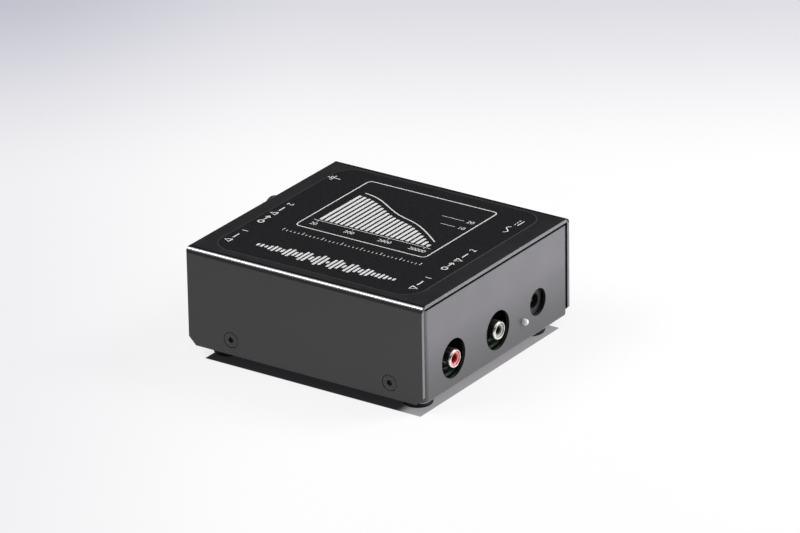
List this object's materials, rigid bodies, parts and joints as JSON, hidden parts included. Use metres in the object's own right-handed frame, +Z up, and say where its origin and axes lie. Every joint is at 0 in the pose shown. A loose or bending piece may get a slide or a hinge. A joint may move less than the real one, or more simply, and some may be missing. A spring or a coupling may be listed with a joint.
{
  "type": "phono preamplifier",
  "caption": "Small black sheet-metal phono preamplifier: folded cover over a tray, phono jacks at both ends, power inlet, lamp, ground terminal with a knurled knob, setting switches underneath.",
  "frame": {"origin": "on the surface that the feet stand on, under the middle of the whole object", "axes": "+Z up; +X towards the output panel with the power inlet; -Y towards the side that the label reads from"},
  "size_m": [0.1416, 0.1124, 0.0485],
  "materials": {
    "black_plastic": "moulded black plastic",
    "zinc_steel": "zinc plated",
    "black_coat": "satin black powder coat",
    "board_laminate": "green solder mask on glass laminate",
    "black_steel": "black oxide, slightly worn",
    "film_red": "moulded red box",
    "foot_rubber": "moulded black rubber",
    "nickel_plate": "bright nickel plate",
    "wire_sheath": "green insulation",
    "gold_plate": "gold flashed brass",
    "white_insert": "moulded milky white plastic",
    "red_insert": "moulded red plastic",
    "label_film": "smooth satin black film with white print",
    "lamp_plastic": "milky diffusing epoxy, unlit",
    "tinned_wire": "tinned copper",
    "can_sleeve": "dark shrink sleeve",
    "resistor_lacquer": "blue lacquer",
    "switch_white": "moulded white plastic",
    "switch_red": "moulded red plastic"
  },
  "bodies": {
    "case": {"amplifier_chips": "black_plastic", "board_screws": "zinc_steel", "board_standoffs": "zinc_steel", "chassis": "black_coat", "chip_sockets": "black_plastic", "circuit_board": "board_laminate", "cover": "black_coat", "cover_screws": "black_steel", "film_capacitors": "film_red", "foot_input_far": "foot_rubber", "foot_input_near": "foot_rubber", "foot_output_far": "foot_rubber", "foot_output_near": "foot_rubber", "ground_collar": "black_plastic", "ground_inner_washer": "black_plastic", "ground_nut": "zinc_steel", "ground_stud": "nickel_plate", "ground_tag": "nickel_plate", "ground_wire": "wire_sheath", "input_left_contact": "gold_plate", "input_left_housing": "black_plastic", "input_left_insert": "white_insert", "input_left_sleeve": "gold_plate", "input_right_contact": "gold_plate", "input_right_housing": "black_plastic", "input_right_insert": "red_insert", "input_right_sleeve": "gold_plate", "label": "label_film", "negative_regulator": "black_plastic", "output_left_contact": "gold_plate", "output_left_housing": "black_plastic", "output_left_insert": "white_insert", "output_left_sleeve": "gold_plate", "output_right_contact": "gold_plate", "output_right_housing": "black_plastic", "output_right_insert": "red_insert", "output_right_sleeve": "gold_plate", "positive_regulator": "black_plastic", "power_inlet_contact": "nickel_plate", "power_inlet_housing": "black_plastic", "power_lamp": "lamp_plastic", "power_lamp_leads": "tinned_wire", "press_nuts": "zinc_steel", "rectifier_diodes": "black_plastic", "reservoir_capacitor_1": "can_sleeve", "reservoir_capacitor_2": "can_sleeve", "resistors": "resistor_lacquer", "small_capacitors": "can_sleeve", "switch_bank_1": "switch_red", "switch_bank_2": "switch_red"},
    "clamp_washer": {"ground_washer": "nickel_plate"},
    "clamp_knob": {"ground_knob": "black_plastic"},
    "switch_1_slider_1": {"switch_1_slider_1": "switch_white"},
    "switch_1_slider_2": {"switch_1_slider_2": "switch_white"},
    "switch_1_slider_3": {"switch_1_slider_3": "switch_white"},
    "switch_1_slider_4": {"switch_1_slider_4": "switch_white"},
    "switch_2_slider_1": {"switch_2_slider_1": "switch_white"},
    "switch_2_slider_2": {"switch_2_slider_2": "switch_white"},
    "switch_2_slider_3": {"switch_2_slider_3": "switch_white"},
    "switch_2_slider_4": {"switch_2_slider_4": "switch_white"}
  },
  "joints": [
    {"name": "clamp_washer_slide", "type": "slide", "parent": "case", "child": "clamp_washer", "axis": [-1, 0, 0], "range_m": [0, 0.0035]},
    {"name": "clamp_knob_turn", "type": "hinge", "parent": "clamp_washer", "child": "clamp_knob", "pos_m": [-0.0605, 0.0323, 0.0292], "axis": [-1, 0, 0], "range_deg": [0, 1800]},
    {"name": "switch_1_slider_1_slide", "type": "slide", "parent": "case", "child": "switch_1_slider_1", "axis": [0, 1, 0], "range_m": [0, 0.0015]},
    {"name": "switch_1_slider_2_slide", "type": "slide", "parent": "case", "child": "switch_1_slider_2", "axis": [0, 1, 0], "range_m": [0, 0.0015]},
    {"name": "switch_1_slider_3_slide", "type": "slide", "parent": "case", "child": "switch_1_slider_3", "axis": [0, 1, 0], "range_m": [0, 0.0015]},
    {"name": "switch_1_slider_4_slide", "type": "slide", "parent": "case", "child": "switch_1_slider_4", "axis": [0, 1, 0], "range_m": [0, 0.0015]},
    {"name": "switch_2_slider_1_slide", "type": "slide", "parent": "case", "child": "switch_2_slider_1", "axis": [0, 1, 0], "range_m": [0, 0.0015]},
    {"name": "switch_2_slider_2_slide", "type": "slide", "parent": "case", "child": "switch_2_slider_2", "axis": [0, 1, 0], "range_m": [0, 0.0015]},
    {"name": "switch_2_slider_3_slide", "type": "slide", "parent": "case", "child": "switch_2_slider_3", "axis": [0, 1, 0], "range_m": [0, 0.0015]},
    {"name": "switch_2_slider_4_slide", "type": "slide", "parent": "case", "child": "switch_2_slider_4", "axis": [0, 1, 0], "range_m": [0, 0.0015]}
  ],
  "couplings": [
    {"joint": "clamp_knob_turn", "follows": "clamp_washer_slide", "rad_per_m": 8975.9}
  ]
}
